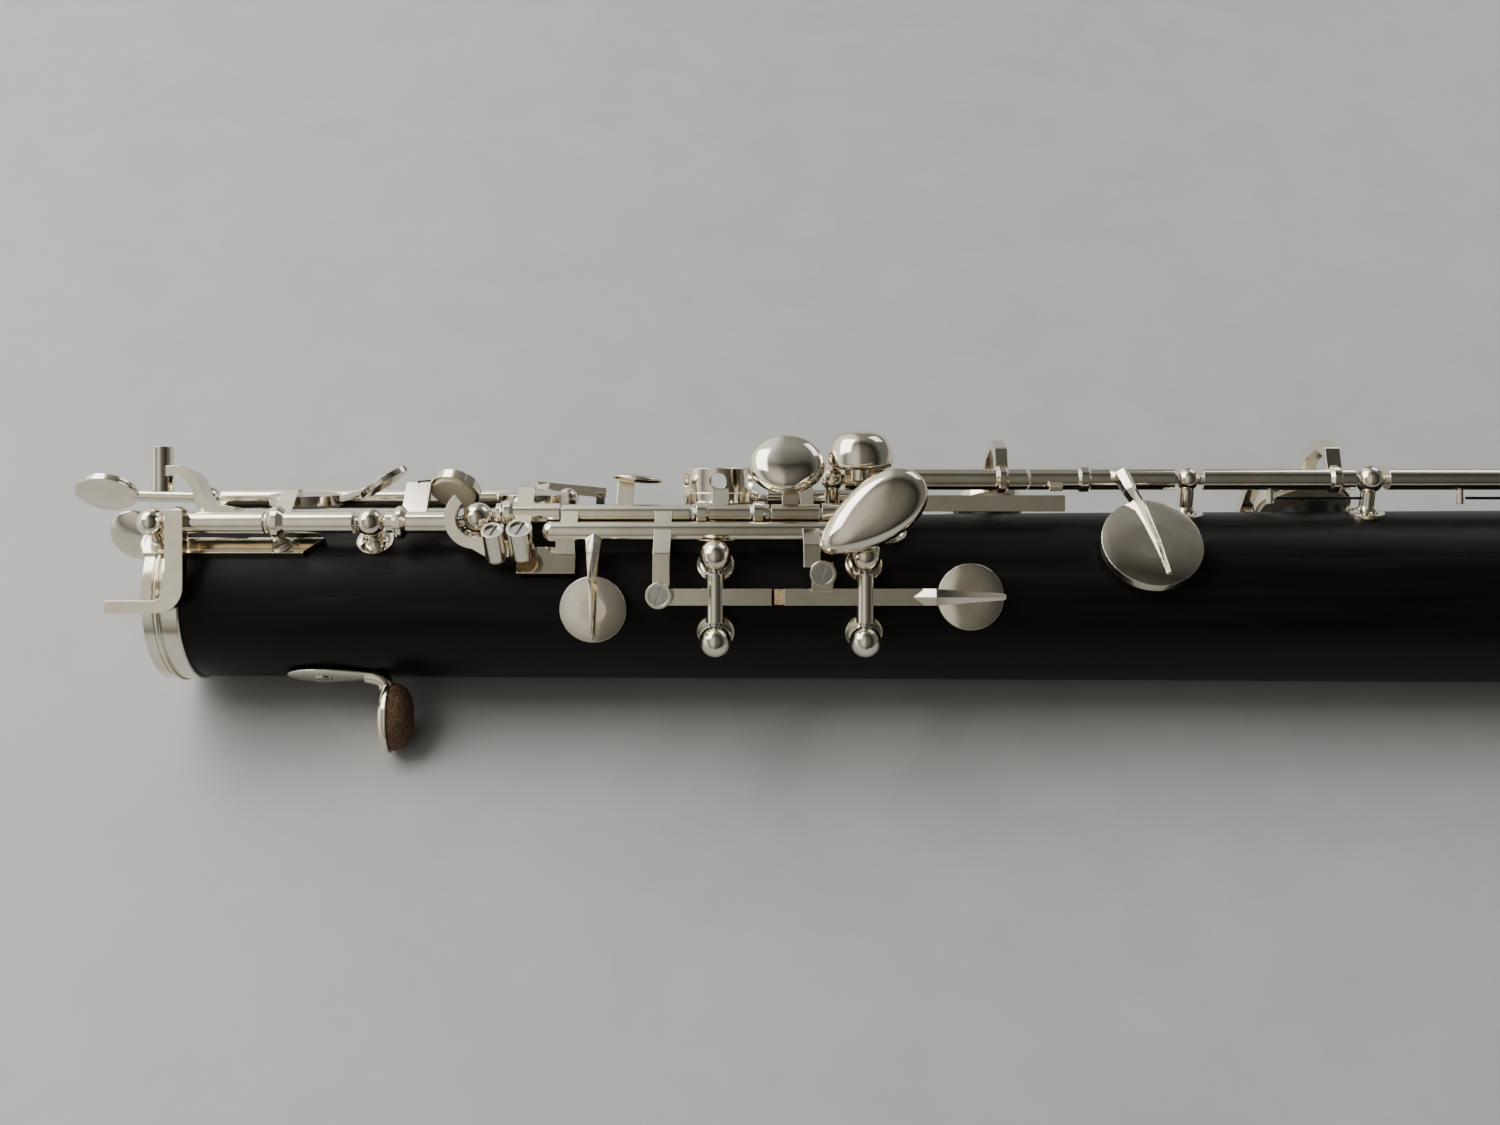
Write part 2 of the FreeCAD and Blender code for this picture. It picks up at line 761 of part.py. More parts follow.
def low_b_key():
    """Open-standing pad on the far side, closed from the left hand by the link rod."""
    plate, pad = cup_on(176.6, -30, "large_pad_radius", 2.0)
    arm = cross_arm(176.6, OVER_ARM + [(18.6, -7.6), (15.0, -8.4)], 2.2, 1.4)
    tail = cross_arm(169.5, [(18.6, 4.4), (19.6, -1.0), (17.4, -5.4)], 2.0, 1.2)
    metal = [tube(ROD_B, "low_b_from", "low_b_to"), plate, spring_peg(167.0), collar(175.5, ROD_B, 0.85)]
    key("low_b_key", ROD_B, metal + arm + tail, [pad])
    node("low_b_pad", [pad])


def low_vent_key():
    """The lowest pad of the joint, closed from the left hand by the lower lever."""
    plate, pad = cup_on(220.0, -30, "large_pad_radius", 2.0)
    arm = cross_arm(220.0, OVER_ARM + [(18.6, -7.6), (15.0, -8.6)], 2.2, 1.4)
    tail = cross_arm(186.0, [(18.6, 4.4), (19.6, -1.0), (17.0, -6.6)], 2.0, 1.2)
    metal = [tube(ROD_B, "low_vent_from", "low_vent_to"), plate, spring_peg(195.6)]
    key("low_vent_key", ROD_B, metal + arm + tail + [collar(219.0, ROD_B, 0.85)], [pad])
    node("low_vent_pad", [pad])


# ---------------------------------------------------------------- left-hand keys


def bent_wire(places, radius):
    """A round stem through (x, front, side) places, with a ball at each bend."""
    corners = [point(*place) for place in places]
    pieces = [ball(radius, corner) for corner in corners[1:-1]]
    for start, end in zip(corners, corners[1:]):
        pieces.append(cylinder(radius, (end - start).Length, start, end - start))
    return pieces


def c_sharp_pad_key():
    """The pad key that the C sharp touch opens."""
    plate, pad = cup_on(105.0, -42, "small_pad_radius", 0.15)
    lug = cross_arm(97.2, [(15.4, -5.8), (14.9, -1.6)], 2.0, 1.1)
    arm = cross_arm(105.0, [(15.6, -7.4), (15.0, -10.2), (11.4, -10.6)], 2.0, 1.3)
    metal = [tube(LEFT_UPPER, "c_sharp_pad_from", "c_sharp_pad_to"), plate]
    key("c_sharp_pad_key", LEFT_UPPER, metal + lug + arm, [pad])
    node("c_sharp_pad", [pad])


def left_upper_lever():
    """Left-hand little-finger lever: a flat leaf beyond the socket on a short rod."""
    leaf = outline("XY_Plane", (-4.9, 0), [((0, -3.9), (4.9, 0)), ((0, 3.9), (-4.9, 0))], 1.1, Vector())
    leaf.Placement = Placement(point(-13.6, 16.0, -7.9), Rotation(X_AXIS, -38))
    stem = bent_wire([(7.4, 15.3, -6.8), (7.4, 15.5, -10.0), (-9.6, 15.9, -9.2)], 0.95)
    arm = cross_arm(55.6, [(15.2, -6.4), (17.6, -10.8)], 2.2, 1.4)
    reach = bar(point(54.6, 17.4, -10.5), point(65.6, 16.4, -11.5), 1.4, 1.6, FRONT)
    tip = bar(point(64.7, 16.6, -11.5), point(64.7, 14.2, -11.9), 1.8, 1.4, X_AXIS)
    metal = [tube(LEFT_UPPER, "left_upper_from", "left_upper_to"), leaf, reach, tip]
    key("left_upper_lever", LEFT_UPPER, metal + stem + arm)


def left_lower_lever():
    """Left-hand little-finger lever: a spoon beyond the socket on the long lower rod."""
    leaf = dome(4.2, 4.5, 1.0, point(-11.0, 9.7, -13.2), Rotation(X_AXIS, -62))
    stem = bent_wire([(7.6, 1.8, -16.6), (7.6, 5.4, -16.9), (-3.0, 5.5, -16.6), (-9.3, 8.8, -14.0)], 1.0)
    arm = cross_arm(184.5, [(2.0, -16.4), (10.5, -17.2), (17.5, -12.0), (18.9, -7.4)], 2.0, 1.4)
    tip = bar(point(183.5, 18.9, -7.4), point(187.0, 18.9, -7.4), 1.6, 1.2, FRONT)
    metal = [tube(LEFT_LOWER, "left_lower_from", "left_lower_to"), leaf, tip]
    key("left_lower_lever", LEFT_LOWER, metal + stem + arm)


def low_b_link():
    """The long link rod that carries the left upper lever's push down to the low B key."""
    lug = cross_arm(64.7, [(8.2, -14.2), (12.2, -12.0)], 2.0, 1.2)
    arm = cross_arm(169.5, [(8.2, -14.5), (14.2, -14.0), (18.4, -9.2), (19.45, -5.6)], 2.0, 1.3)
    metal = [tube(LEFT_LINK, "link_from", "link_to", "slim_tube_radius")]
    key("low_b_link", LEFT_LINK, metal + lug + arm)


# ---------------------------------------------------------------- cross levers


def lever_hub(x):
    """The sleeve of a cross lever, between its two posts, and the hole for its rod."""
    sleeve = cylinder("slim_barrel_radius - 0.25", 7.0, point(x, -3.5, LEVER_PIVOT_SIDE), FRONT)
    hole = cylinder("rod_radius + running_gap", 16, point(x, -8, LEVER_PIVOT_SIDE), FRONT)
    return sleeve, hole


def left_vent_lever():
    """The first cross lever; the F key's screw stands on its corked left end."""
    sleeve, hole = lever_hub(LEFT_LEVER_X)
    beam = bar(
        point(74.7, LEVER_HEIGHT, LEVER_PIVOT_SIDE),
        point(91.9, LEVER_HEIGHT, LEVER_PIVOT_SIDE),
        "arm_width",
        1.9,
        SIDE,
    )
    node("left_vent_lever", [sleeve, beam], [hole])
    top = LEVER_PIVOT_SIDE + 0.95
    cork = cylinder(1.15, "foot_cork_height", point(75.9, LEVER_HEIGHT, top), SIDE)
    node("left_vent_cork", [cork])


def right_vent_lever():
    """The second cross lever, with the vent pad at its far end."""
    sleeve, hole = lever_hub(RIGHT_LEVER_X)
    beam = bar(
        point(93.7, LEVER_HEIGHT, LEVER_PIVOT_SIDE),
        point(113.5, LEVER_HEIGHT, LEVER_PIVOT_SIDE),
        "arm_width",
        1.9,
        SIDE,
    )
    step = bar(point(97.6, 3.1, 15.2), point(100.7, 3.1, 15.2), 4.2, 2.4, SIDE)
    plate, pad = cup_on(120.5, 89, "vent_pad_radius", 0.15)
    across = Vector(0, 0, 1)
    sections = []
    for x, side, half in ((111.5, 14.8, 1.2), (115.4, 16.1, 1.2), (125.4, 15.9, 0.4)):
        low = point(x, LEVER_HEIGHT, side - 0.8)
        high = point(x, LEVER_HEIGHT, side + 0.7)
        rim = point(x, LEVER_HEIGHT, side + 0.15)
        corners = [low - across * half, low + across * half, rim + across * half, high, rim - across * half]
        sections.append(Part.makePolygon(corners + [corners[0]]))
    spine = doc.addObject("Part::Feature", "lever_spine")
    spine.Shape = Part.makeLoft(sections, True, True)
    node("right_vent_lever", [sleeve, beam, step, plate, spine], [hole, pad])
    node("vent_pad", [pad])
    end = bar(
        point(92.3, LEVER_HEIGHT, LEVER_PIVOT_SIDE),
        point(93.7, LEVER_HEIGHT, LEVER_PIVOT_SIDE),
        2.2,
        1.6,
        SIDE,
    )
    node("right_vent_cork", [end])


# ---------------------------------------------------------------- fixed fittings


def rods():
    """The six steel rods that the keys turn on, and the two short ones of the cross levers."""
    lengths = {
        "rod_upper": (ROD_A, 0.6, 48.9),
        "rod_middle": (ROD_C, 49.1, 110.6),
        "rod_lower": (ROD_B, 100.2, 232.9),
        "rod_left_short": (LEFT_UPPER, 2.0, 60.8),
        "rod_c_sharp": (LEFT_UPPER, 88.2, 114.8),
        "rod_left_link": (LEFT_LINK, 59.4, 182.4),
        "rod_left_long": (LEFT_LOWER, 2.0, 188.9),
    }
    solids = {}
    for name, (rod, start, end) in lengths.items():
        solids[name] = cylinder("rod_radius", end - start, point(start, *rod), X_AXIS)
        node(name, [solids[name]])
    short = []
    for x in (LEFT_LEVER_X, RIGHT_LEVER_X):
        short.append(cylinder("rod_radius", 14.0, point(x, -7.0, LEVER_PIVOT_SIDE), FRONT))
    node("lever_rods", short, group=True)
    return list(solids.values()), short


def posts(long_rods, short_rods):
    """The ball posts in their groups, each drilled for its rods."""
    double = (11.7, 11.3)
    groups = {
        "upper_rod_posts": [post_on(33.5, ROD_A), post_on(49.0, double, "lever_ball_radius")],
        "middle_rod_post": [post_on(109.3, ROD_C)],
        "lower_rod_posts": [
            post_on(101.2, ROD_B, "small_ball_radius"),
            post_on(154.6, ROD_B, "small_ball_radius"),
            post_on(182.0, ROD_B),
            post_on(232.0, ROD_B),
        ],
        "left_rod_posts": [
            post_on(3.2, LEFT_UPPER),
            post_on(60.0, LEFT_UPPER, "small_ball_radius"),
            post_on(89.0, LEFT_UPPER, "small_ball_radius"),
            post_on(114.0, LEFT_UPPER, "small_ball_radius"),
            post_on(60.2, LEFT_LINK, "small_ball_radius"),
            post_on(181.6, LEFT_LINK, "small_ball_radius"),
            post_on(3.2, LEFT_LOWER),
            post_on(188.0, LEFT_LOWER),
        ],
        "lever_posts": [
            post_on(x, (front, LEVER_PIVOT_SIDE), "lever_ball_radius")
            for x in (LEFT_LEVER_X, RIGHT_LEVER_X)
            for front in (6.15, -6.15)
        ],
    }
    made = []
    for name, members in groups.items():
        drills = short_rods if name == "lever_posts" else long_rods
        drilled = [cut(member, drills) for member in members]
        node(name, drilled, group=True)
        made += members
    return made


def strap(long_rods):
    """The socket strap, pointed at its end, which carries the first ball post."""
    out = radial(54)
    lift = body_radius(3) + 0.45
    plate = bar(out * lift, out * lift + X_AXIS * 23.5, 2.8, "plate_thickness", out)
    tip_start = out * lift + X_AXIS * 23.2
    half = Rotation(X_AXIS, 90).multVec(out) * 1.4
    rise = out * (dim("plate_thickness") / 2)
    sections = [tip_start - half, tip_start + half, tip_start + X_AXIS * 3.0 - half]
    face = Part.Face(Part.makePolygon([place - rise for place in sections + [sections[0]]]))
    tip = doc.addObject("Part::Feature", "strap_tip")
    tip.Shape = face.extrude(rise * 2)
    ball_post = post_on(1.6, ROD_A)
    whole = fused([plate, tip, ball_post])
    screw = slotted_screw(1.3, 4.0, out * (lift + 0.75) + X_AXIS * 20.2, out, 35)
    node("socket_strap", [whole], long_rods + [screw])
    return whole, screw


def thumb_rest():
    """The leaf-shaped foot plate, neck and hook of the thumb rest, and its cork face."""
    back = radial(159)
    lift = body_radius(26) + 0.35
    leaf = bar(back * lift + X_AXIS * 22.6, back * lift + X_AXIS * 34.2, 5.4, "plate_thickness", back)
    low = back * (lift - dim("plate_thickness") / 2)
    rounded = cylinder(2.7, "plate_thickness", low + X_AXIS * 22.6, back)

    def tongue(x, thickness, inset):
        start = (-12.2, 0.4 + inset)
        arc = ((-23.7 + inset, 3.9), (-19.7, 7.9 - inset))
        steps = [(-19.7, -0.1 + inset), arc, (-12.2, 7.4 - inset)]
        return cross_plate(start, steps, thickness, x)

    hook = tongue(32.6, 1.8, 0.0)
    cork = tongue(34.4, 3.8, 0.25)
    screw = slotted_screw(1.3, 4.0, back * (lift + 0.75) + X_AXIS * 24.6, back, 20)
    barrel_of_wood = cylinder(body_radius(34) + 0.02, 60, Vector(0, 0, 0), X_AXIS)
    whole = fused([leaf, rounded, cut(hook, [barrel_of_wood])])
    node("thumb_rest", [whole], [screw])
    node("thumb_rest_cork", [cork], [barrel_of_wood, whole])
    return whole, screw


def springs():
    """Blued needle springs from their posts to the pegs that they bear on."""
    lines = [
        (point(180.8, 14.9, 4.3), point(167.9, 14.9, 4.9)),
        (point(210.4, 14.9, 4.3), point(196.5, 14.9, 4.9)),
    ]
    needles = []
    for start, end in lines:
        needles.append(cylinder("spring_radius", (end - start).Length, start, end - start))
    node("needle_springs", needles, group=True)
    low = radial(15.8) * (body_radius(211) - 2)
    stub = cylinder("neck_radius", 5.2, low + X_AXIS * 211, radial(15.8))
    node("spring_stub", [stub], needles)
    return [stub], needles


TONE_HOLES = {
    # place, angle from the front, hole radius, and whether its seat is a large one
    "f_sharp_hole": (21.0, 6, 3.0, "finger_plate_radius"),
    "e_hole": (55.7, 6, 3.3, "finger_plate_radius"),
    "f_hole": (66.2, 96, 2.7, "vent_pad_radius"),
    "d_hole": (84.0, 4, 3.5, "finger_plate_radius"),
    "c_sharp_hole": (105.0, -42, 2.2, "small_pad_radius"),
    "vent_hole": (120.5, 89, 2.6, "vent_pad_radius"),
    "c_hole": (126.6, -30, 3.4, "finger_plate_radius"),
    "d_sharp_hole": (147.2, 58, 5.0, "large_pad_radius"),
    "low_b_hole": (176.6, -30, 5.2, "large_pad_radius"),
    "low_vent_hole": (220.0, -30, 5.4, "large_pad_radius"),
}


def wooden_body(tools):
    """The grenadilla joint: socket, conical bore, corked tenon and tone holes with seats."""
    length = dim("body_length")
    end = length + dim("tenon_length")
    ring = dim("ring_length")
    step = dim("ring_radius") - dim("ring_wall")
    groove = dim("tenon_radius") - 0.7
    cork_from = length + 3.5
    cork_to = cork_from + dim("cork_length")
    profile = [
        (dim("socket_bore"), 0),
        (dim("socket_bore") + dim("ring_lip"), 0),
        (dim("socket_bore") + dim("ring_lip"), dim("ring_face")),
        (step, dim("ring_face")),
        (step, ring),
        (body_radius(ring), ring),
        (dim("middle_radius_out"), dim("middle_place")),
        (dim("lower_radius_out"), length),
        (dim("tenon_radius"), length),
        (dim("tenon_radius"), cork_from),
        (groove, cork_from),
        (groove, cork_to),
        (dim("tenon_radius"), cork_to),
        (dim("tenon_radius"), end),
        (dim("bore_end"), end),
        (dim("bore_start"), dim("socket_depth")),
        (dim("socket_bore"), dim("socket_depth")),
    ]
    turned = revolved(profile, Vector(0, 0, 0), X_AXIS)
    seats = []
    holes = []
    for x, angle, hole_radius, cup_radius in TONE_HOLES.values():
        out = radial(angle)
        start = out * 9.5 + X_AXIS * x
        rim = min(hole_radius + dim("seat_rim"), dim(cup_radius) - dim("cup_wall") - 0.2)
        seats.append(cylinder(rim, seat_radius(x) - 9.5, start, out))
        holes.append(cylinder(hole_radius, 20, X_AXIS * x, out))
    bored = cut(fused([turned] + seats), holes)
    node("body_tube", [bored], tools)
    shell = [(groove, cork_from), (dim("cork_radius"), cork_from), (dim("cork_radius"), cork_to)]
    node("tenon_cork", [revolved(shell + [(groove, cork_to)], Vector(0, 0, 0), X_AXIS)])


def end_rings(tools):
    """The beaded socket ring and the plain ring at the tenon's shoulder.

    The posts' flared feet leave hair-thin chips at the ring's edge, which are dropped."""
    long = dim("ring_length")
    outer = dim("ring_radius")
    inner = outer - dim("ring_wall")
    bead = dim("ring_bead")
    lip = dim("socket_bore") + dim("ring_lip")
    middle = long * 0.42
    profile = [
        (lip, 0),
        (outer - 0.3, 0),
        (outer, 0.3),
        (outer, middle - 0.55),
        (outer - bead, middle - 0.45),
        (outer - bead, middle - 0.2),
        ((outer + bead, middle + 0.1), (outer - bead, middle + 0.4)),
        (outer - bead, middle + 0.65),
        (outer, middle + 0.75),
        (outer, long - 0.2),
        (outer - 0.2, long),
        (inner, long),
        (inner, dim("ring_face")),
        (lip, dim("ring_face")),
    ]
    trimmed = cut(revolved(profile, Vector(0, 0, 0), X_AXIS), tools)
    doc.recompute()
    ring = doc.addObject("Part::Feature", "ring_without_chips")
    ring.Shape = max(trimmed.Shape.Solids, key=lambda solid: solid.Volume)
    node("socket_ring", [ring])
    end = dim("body_length")
    radius = dim("lower_radius_out")
    hoop = [
        (dim("tenon_radius") + 0.3, end),
        (radius + 0.1, end),
        (radius + 0.3, end + 0.2),
        (radius + 0.3, end + 1.2),
        (radius + 0.1, end + 1.4),
        (dim("tenon_radius") + 0.3, end + 1.4),
    ]
    node("tenon_ring", [revolved(hoop, Vector(0, 0, 0), X_AXIS)])


def build():
    bridge_key()
    f_sharp_key()
    trill_key()
    e_key()
    f_key()
    d_key()
    c_sharp_key()
    d_sharp_key()
    c_key()
    d_sharp_pad_key()
    low_b_key()
    low_vent_key()
    c_sharp_pad_key()
    left_upper_lever()
    left_lower_lever()
    low_b_link()
    left_vent_lever()
    right_vent_lever()
    long_rods, short_rods = rods()
    members = posts(long_rods, short_rods)
    strap_metal, strap_screw = strap(long_rods)
    rest_metal, rest_screw = thumb_rest()
    stubs, needles = springs()
    node("mounting_screws", [strap_screw, rest_screw], group=True)
    near_socket = [piece for piece in members if piece.Placement.Base.x < 6]
    end_rings([strap_metal] + near_socket)
    wooden_body(members + [strap_metal, strap_screw, rest_metal, rest_screw] + stubs)


def check_and_write():
    """Stops on a failed or broken feature, then writes each node's solids."""
    doc.recompute()
    for feature in doc.Objects:
        if "Invalid" in feature.State or "Error" in feature.State:
            raise RuntimeError(f"{feature.Label} failed: {feature.State}")
    faults = []
    for holder, wanted in nodes:
        shape = holder.Shape
        if shape.isNull() or not shape.isValid():
            faults.append(f"{holder.Label} has a broken shape")
        elif len(shape.Solids) != wanted:
            faults.append(f"{holder.Label} has {len(shape.Solids)} solids, not {wanted}")
    if faults:
        raise RuntimeError("; ".join(faults))
    os.makedirs("parts", exist_ok=True)
    for holder, wanted in nodes:
        holder.Shape.exportStep(f"parts/{holder.Label}.step")
        print(f"{holder.Label}: {holder.Shape.Volume:.1f} mm3")


build()
check_and_write()
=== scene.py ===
"""Looks of an oboe's lower joint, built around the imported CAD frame.

The joint lies on a table with its bore along X.  Its front has rolled towards +Y, so the camera,
high on the -Y side, sees the joint's right side and the right-hand keywork.  Lengths are in
metres, and in millimetres where the shaped pieces are laid out.
"""

import json
import math

import bmesh
import bpy
from mathutils import Matrix, Vector


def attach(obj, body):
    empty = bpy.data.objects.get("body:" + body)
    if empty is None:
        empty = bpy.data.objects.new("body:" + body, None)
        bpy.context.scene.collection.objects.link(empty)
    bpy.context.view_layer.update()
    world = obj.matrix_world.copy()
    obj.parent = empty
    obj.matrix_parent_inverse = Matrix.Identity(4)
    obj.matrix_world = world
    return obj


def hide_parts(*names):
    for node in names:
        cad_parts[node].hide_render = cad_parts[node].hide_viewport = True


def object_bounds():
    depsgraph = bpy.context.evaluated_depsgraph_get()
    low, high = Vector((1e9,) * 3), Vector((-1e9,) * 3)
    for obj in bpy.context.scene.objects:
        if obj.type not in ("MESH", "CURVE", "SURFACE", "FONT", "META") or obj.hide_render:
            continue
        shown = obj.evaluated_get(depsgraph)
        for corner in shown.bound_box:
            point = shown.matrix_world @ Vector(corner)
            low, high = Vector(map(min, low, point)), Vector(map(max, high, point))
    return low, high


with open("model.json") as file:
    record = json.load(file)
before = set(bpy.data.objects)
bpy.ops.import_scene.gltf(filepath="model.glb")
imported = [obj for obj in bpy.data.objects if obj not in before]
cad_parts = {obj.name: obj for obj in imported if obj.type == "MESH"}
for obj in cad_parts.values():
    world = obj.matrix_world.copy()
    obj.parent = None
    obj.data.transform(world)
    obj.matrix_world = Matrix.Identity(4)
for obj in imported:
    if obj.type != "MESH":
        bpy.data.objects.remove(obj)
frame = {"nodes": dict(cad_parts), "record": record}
cad_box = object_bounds()

MM = 0.001
ROLL = math.radians(50)  # how far the joint's front has rolled from straight up
FRONT = Vector((0, math.sin(ROLL), math.cos(ROLL)))
SIDE = Vector((0, -math.cos(ROLL), math.sin(ROLL)))
X = Vector((1, 0, 0))
FLOOR_Z = cad_box[0][2]

# camera: the point that it faces, how far it stands from that point, and its lens
TARGET_X = 88.8 * MM
TARGET_FRONT = 5.2 * MM
CAMERA_DISTANCE = 230 * MM
LENS_MM = 35.9
SENSOR_MM = 36.0
CLIP_START = 5 * MM


def place(x, front, side):
    """A point given in millimetres along the bore, to the joint's front and to its right side."""
    return X * (x * MM) + FRONT * (front * MM) + SIDE * (side * MM)


def set_stops(ramp, stops):
    """Gives a colour ramp node its (position, colour) stops."""
    elements = ramp.color_ramp.elements
    while len(elements) < len(stops):
        elements.new(0.5)
    for element, (position, colour) in zip(elements, stops):
        element.position = position
        element.color = (*colour, 1)


# ---------------------------------------------------------------- materials


class Shader:
    """A small helper that lays out a material's nodes around its Principled shader."""

    def __init__(self, material):
        material.use_nodes = True
        self.tree = material.node_tree
        self.tree.nodes.clear()
        self.output = self.node("ShaderNodeOutputMaterial")
        self.surface = self.node("ShaderNodeBsdfPrincipled")
        self.link(self.surface, "BSDF", self.output, "Surface")
        self.place = self.node("ShaderNodeTexCoord")

    def node(self, kind, **values):
        """A new node, each value set on the socket of that name or else on the node itself."""
        made = self.tree.nodes.new(kind)
        for name, value in values.items():
            if name in made.inputs.keys():
                made.inputs[name].default_value = value
            else:
                setattr(made, name, value)
        return made

    def link(self, source, output, target, socket):
        self.tree.links.new(source.outputs[output], target.inputs[socket])

    def stretched(self, scale):
        mapping = self.node("ShaderNodeMapping")
        mapping.inputs["Scale"].default_value = scale
        self.link(self.place, "Object", mapping, "Vector")
        return mapping

    def noise(self, scale, detail=4.0, roughness=0.55, stretch=(1, 1, 1)):
        """Noise with `scale` features to the metre, drawn out along an axis by a small stretch."""
        texture = self.node("ShaderNodeTexNoise", Scale=scale, Detail=detail, Roughness=roughness)
        self.link(self.stretched(stretch), "Vector", texture, "Vector")
        return texture

    def ramp(self, source, output, stops):
        """Colours a texture's 0 to 1 by (position, colour) stops."""
        ramp = self.node("ShaderNodeValToRGB")
        set_stops(ramp, stops)
        self.link(source, output, ramp, "Fac")
        return ramp

    def spread(self, source, output, low, high):
        """Maps a texture's 0 to 1 onto a range for a plain number's socket."""
        spread = self.node("ShaderNodeMapRange")
        spread.inputs["To Min"].default_value = low
        spread.inputs["To Max"].default_value = high
        self.link(source, output, spread, "Value")
        return spread

    def bump(self, source, output, strength, distance, under=None):
        """Relief `distance` metres deep from a texture, laid over the normal of `under`."""
        bump = self.node("ShaderNodeBump", Strength=strength, Distance=distance)
        self.link(source, output, bump, "Height")
        if under:
            self.link(under, "Normal", bump, "Normal")
        return bump

    def set(self, **values):
        """Sets the Principled shader's sockets, named with underscores for spaces."""
        for name, value in values.items():
            self.surface.inputs[name.replace("_", " ")].default_value = value


def metal(material, colours, roughness, edge, scratch):
    """Polished or plated metal: faint tarnish clouds, hairline scratches and rounded edges."""
    shader = Shader(material)
    clouds = shader.noise(220, detail=5)
    colour = shader.ramp(clouds, "Fac", [(0.3, colours[0]), (0.7, colours[1])])
    shader.link(colour, "Color", shader.surface, "Base Color")
    smears = shader.noise(900, detail=6, roughness=0.65)
    rough = shader.spread(smears, "Fac", *roughness)
    shader.link(rough, "Result", shader.surface, "Roughness")
    shader.set(Metallic=1.0)
    round_edge = shader.node("ShaderNodeBevel", Radius=edge)
    round_edge.samples = 4
    hairlines = shader.noise(2600, detail=3, stretch=(0.15, 1, 1))
    scratches = shader.bump(
        hairlines, "Fac", strength=scratch, distance=0.02 * MM, under=round_edge
    )
    shader.link(scratches, "Normal", shader.surface, "Normal")


def grenadilla(material):
    """Black oiled wood: long pores along the bore and faint brown streaks."""
    shader = Shader(material)
    streaks = shader.noise(500, detail=6, stretch=(0.06, 1, 1))
    black, dark, brown = (0.0035, 0.0032, 0.0032), (0.007, 0.006, 0.0056), (0.016, 0.012, 0.010)
    colour = shader.ramp(streaks, "Fac", [(0.35, black), (0.6, dark), (0.8, brown)])
    shader.link(colour, "Color", shader.surface, "Base Color")
    rough = shader.spread(streaks, "Fac", low=0.3, high=0.46)
    shader.link(rough, "Result", shader.surface, "Roughness")
    pores = shader.noise(2600, detail=3, roughness=0.6, stretch=(0.07, 1, 1))
    pits = shader.ramp(pores, "Fac", [(0.33, (0, 0, 0)), (0.42, (1, 1, 1))])
    grain = shader.bump(pits, "Color", strength=0.3, distance=0.05 * MM)
    shader.link(grain, "Normal", shader.surface, "Normal")
    shader.set(Specular_IOR_Level=0.16)


def cork(material, dark, light):
    """Sheet cork: pale cells with darker flecks."""
    shader = Shader(material)
    cells = shader.node("ShaderNodeTexVoronoi", Scale=2600.0)
    shader.link(shader.place, "Object", cells, "Vector")
    flecks = shader.noise(700, detail=6, roughness=0.7)
    mixed = shader.node("ShaderNodeMath", operation="MULTIPLY")
    shader.link(cells, "Distance", mixed, 0)
    shader.link(flecks, "Fac", mixed, 1)
    colour = shader.ramp(mixed, "Value", [(0.05, dark), (0.4, light)])
    shader.link(colour, "Color", shader.surface, "Base Color")
    rough = shader.spread(flecks, "Fac", low=0.65, high=0.9)
    shader.link(rough, "Result", shader.surface, "Roughness")
    pitted = shader.bump(mixed, "Value", strength=0.5, distance=0.15 * MM)
    shader.link(pitted, "Normal", shader.surface, "Normal")


def skin(material):
    """A pad's thin skin, cream and slightly creased."""
    shader = Shader(material)
    creases = shader.noise(600, detail=5)
    tan, cream = (0.62, 0.52, 0.38), (0.78, 0.70, 0.56)
    colour = shader.ramp(creases, "Fac", [(0.3, tan), (0.7, cream)])
    shader.link(colour, "Color", shader.surface, "Base Color")
    rough = shader.spread(creases, "Fac", low=0.45, high=0.65)
    shader.link(rough, "Result", shader.surface, "Roughness")
    creased = shader.bump(creases, "Fac", strength=0.3, distance=0.2 * MM)
    shader.link(creased, "Normal", shader.surface, "Normal")


def table_top(material):
    """The pale, faintly mottled satin board that the joint lies on."""
    shader = Shader(material)
    mottle = shader.noise(60, detail=8, roughness=0.7)
    grey, pale_grey = (0.46, 0.465, 0.465), (0.52, 0.525, 0.52)
    colour = shader.ramp(mottle, "Fac", [(0.3, grey), (0.7, pale_grey)])
    shader.link(colour, "Color", shader.surface, "Base Color")
    rough = shader.spread(mottle, "Fac", low=0.42, high=0.55)
    shader.link(rough, "Result", shader.surface, "Roughness")
    fine = shader.noise(1500, detail=3)
    texture = shader.bump(fine, "Fac", strength=0.15, distance=0.1 * MM)
    shader.link(texture, "Normal", shader.surface, "Normal")


# the record's material slots: each one's finish, and what that finish needs to be told
FINISHES = {
    "grenadilla": (grenadilla, {}),
    "silver_plate": (
        metal,
        {
            "colours": ((0.80, 0.72, 0.57), (0.93, 0.87, 0.74)),
            "roughness": (0.06, 0.15),
            "edge": 0.16 * MM,
            "scratch": 0.12,
        },
    ),
    "steel": (
        metal,
        {
            "colours": ((0.50, 0.49, 0.47), (0.62, 0.61, 0.59)),
            "roughness": (0.12, 0.26),
            "edge": 0.06 * MM,
            "scratch": 0.2,
        },
    ),
    "blued_steel": (
        metal,
        {
            "colours": ((0.05, 0.055, 0.075), (0.11, 0.115, 0.14)),
            "roughness": (0.22, 0.34),
            "edge": 0.04 * MM,
            "scratch": 0.1,
        },
    ),
    "cork": (cork, {"dark": (0.30, 0.19, 0.10), "light": (0.60, 0.44, 0.27)}),
    "dark_cork": (cork, {"dark": (0.045, 0.022, 0.010), "light": (0.17, 0.095, 0.045)}),
    "pad_skin": (skin, {}),
}


